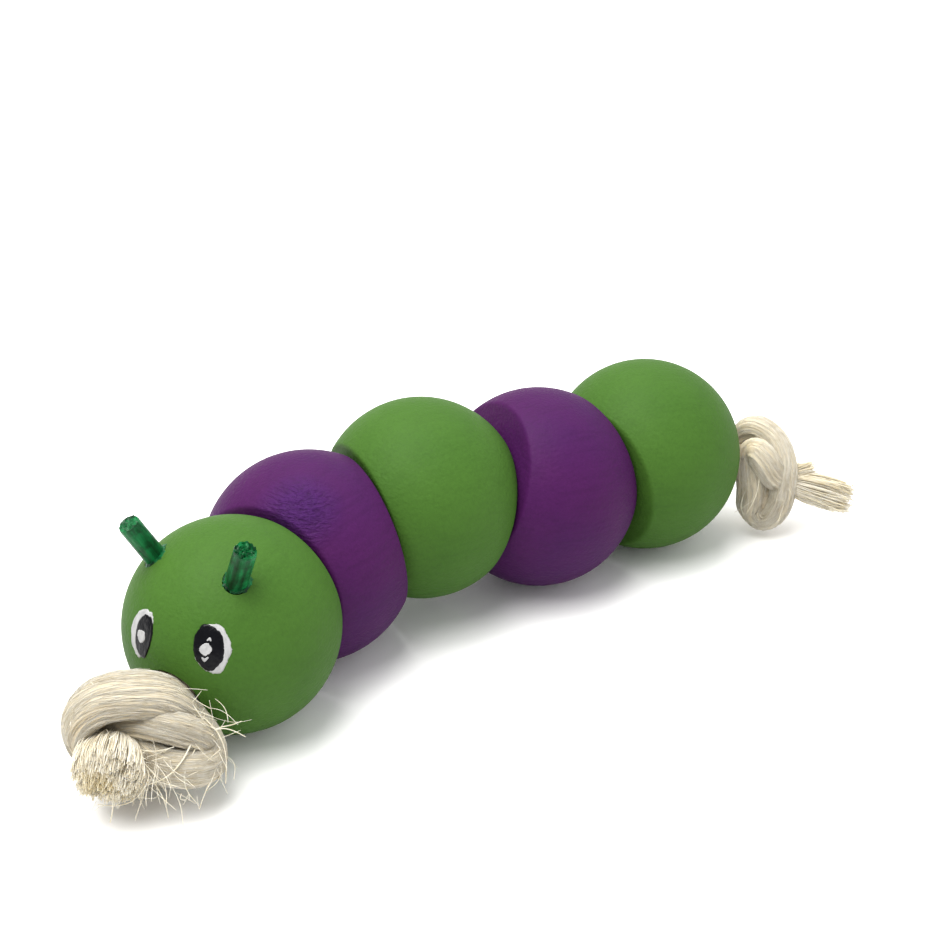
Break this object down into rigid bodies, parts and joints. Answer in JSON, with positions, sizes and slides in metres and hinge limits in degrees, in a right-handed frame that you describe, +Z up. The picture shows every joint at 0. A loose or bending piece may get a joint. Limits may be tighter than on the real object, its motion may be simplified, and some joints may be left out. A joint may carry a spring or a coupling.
{
  "type": "wooden inchworm toy",
  "caption": "Wooden inchworm: painted balls with milled flats strung on a knotted sisal rope, peg antennae on the head.",
  "frame": {"origin": "on the floor under the middle of the five balls, knots left out", "axes": "+Z up; X along the string of balls, the head towards -X and the tail towards +X; Y across"},
  "size_m": [0.1787, 0.0609, 0.0453],
  "materials": {
    "green_painted_wood": "matt paint",
    "purple_painted_wood": "matt paint",
    "stained_wood": "dark green stain, broken end grain",
    "sisal_rope": "loose twisted sisal fibre, frayed"
  },
  "bodies": {
    "body_ball_3": {"body_ball_3": "green_painted_wood", "rope_core_3": "sisal_rope"},
    "rope_bend_2": {"rope_link_2": "sisal_rope"},
    "body_ball_2": {"body_ball_2": "purple_painted_wood", "rope_core_2": "sisal_rope"},
    "rope_bend_1": {"rope_link_1": "sisal_rope"},
    "head": {"head_ball": "green_painted_wood", "antenna_left": "stained_wood", "antenna_right": "stained_wood", "rope_core_1": "sisal_rope"},
    "nose_knot": {"nose_knot": "sisal_rope"},
    "rope_bend_3": {"rope_link_3": "sisal_rope"},
    "body_ball_4": {"body_ball_4": "purple_painted_wood", "rope_core_4": "sisal_rope"},
    "rope_bend_4": {"rope_link_4": "sisal_rope"},
    "tail": {"tail_ball": "green_painted_wood", "rope_core_5": "sisal_rope"},
    "tail_knot": {"tail_knot": "sisal_rope", "tail_tuft": "sisal_rope"}
  },
  "joints": [
    {"name": "front_bend", "type": "hinge", "parent": "body_ball_3", "child": "rope_bend_2", "pos_m": [-0.01435, 0.00445, 0.02245], "axis": [-0.127, 0.0217, 0.9917], "range_deg": [-1, 1]},
    {"name": "front_turn", "type": "hinge", "parent": "rope_bend_2", "child": "body_ball_2", "pos_m": [-0.01435, 0.00445, 0.02245], "axis": [0.9775, -0.1671, 0.1288], "continuous": true},
    {"name": "neck_bend", "type": "hinge", "parent": "body_ball_2", "child": "rope_bend_1", "pos_m": [-0.03938, 0.00005, 0.02025], "axis": [0, 0, 1], "range_deg": [-1, 1]},
    {"name": "neck_turn", "type": "hinge", "parent": "rope_bend_1", "child": "head", "pos_m": [-0.03938, 0.00005, 0.02025], "axis": [0.9421, 0.3355, 0], "continuous": true},
    {"name": "nose_knot_turn", "type": "hinge", "parent": "head", "child": "nose_knot", "pos_m": [-0.0693, -0.01245, 0.01584], "axis": [-0.9024, -0.3775, -0.2079], "continuous": true},
    {"name": "rear_bend", "type": "hinge", "parent": "body_ball_3", "child": "rope_bend_3", "pos_m": [0.01162, 0.001, 0.02235], "axis": [0.3666, -0.0772, 0.9272], "range_deg": [-1, 1]},
    {"name": "rear_turn", "type": "hinge", "parent": "rope_bend_3", "child": "body_ball_4", "pos_m": [0.01162, 0.001, 0.02235], "axis": [0.9073, -0.1912, -0.3746], "continuous": true},
    {"name": "tail_bend", "type": "hinge", "parent": "body_ball_4", "child": "rope_bend_4", "pos_m": [0.03785, -0.00345, 0.02015], "axis": [-0.061, -0.0031, 0.9981], "range_deg": [-1, 1]},
    {"name": "tail_turn", "type": "hinge", "parent": "rope_bend_4", "child": "tail", "pos_m": [0.03785, -0.00345, 0.02015], "axis": [0.9969, 0.0505, 0.061], "continuous": true},
    {"name": "tail_knot_turn", "type": "hinge", "parent": "tail", "child": "tail_knot", "pos_m": [0.06789, -0.01488, 0.01496], "axis": [0.8321, -0.4941, -0.2521], "continuous": true}
  ]
}
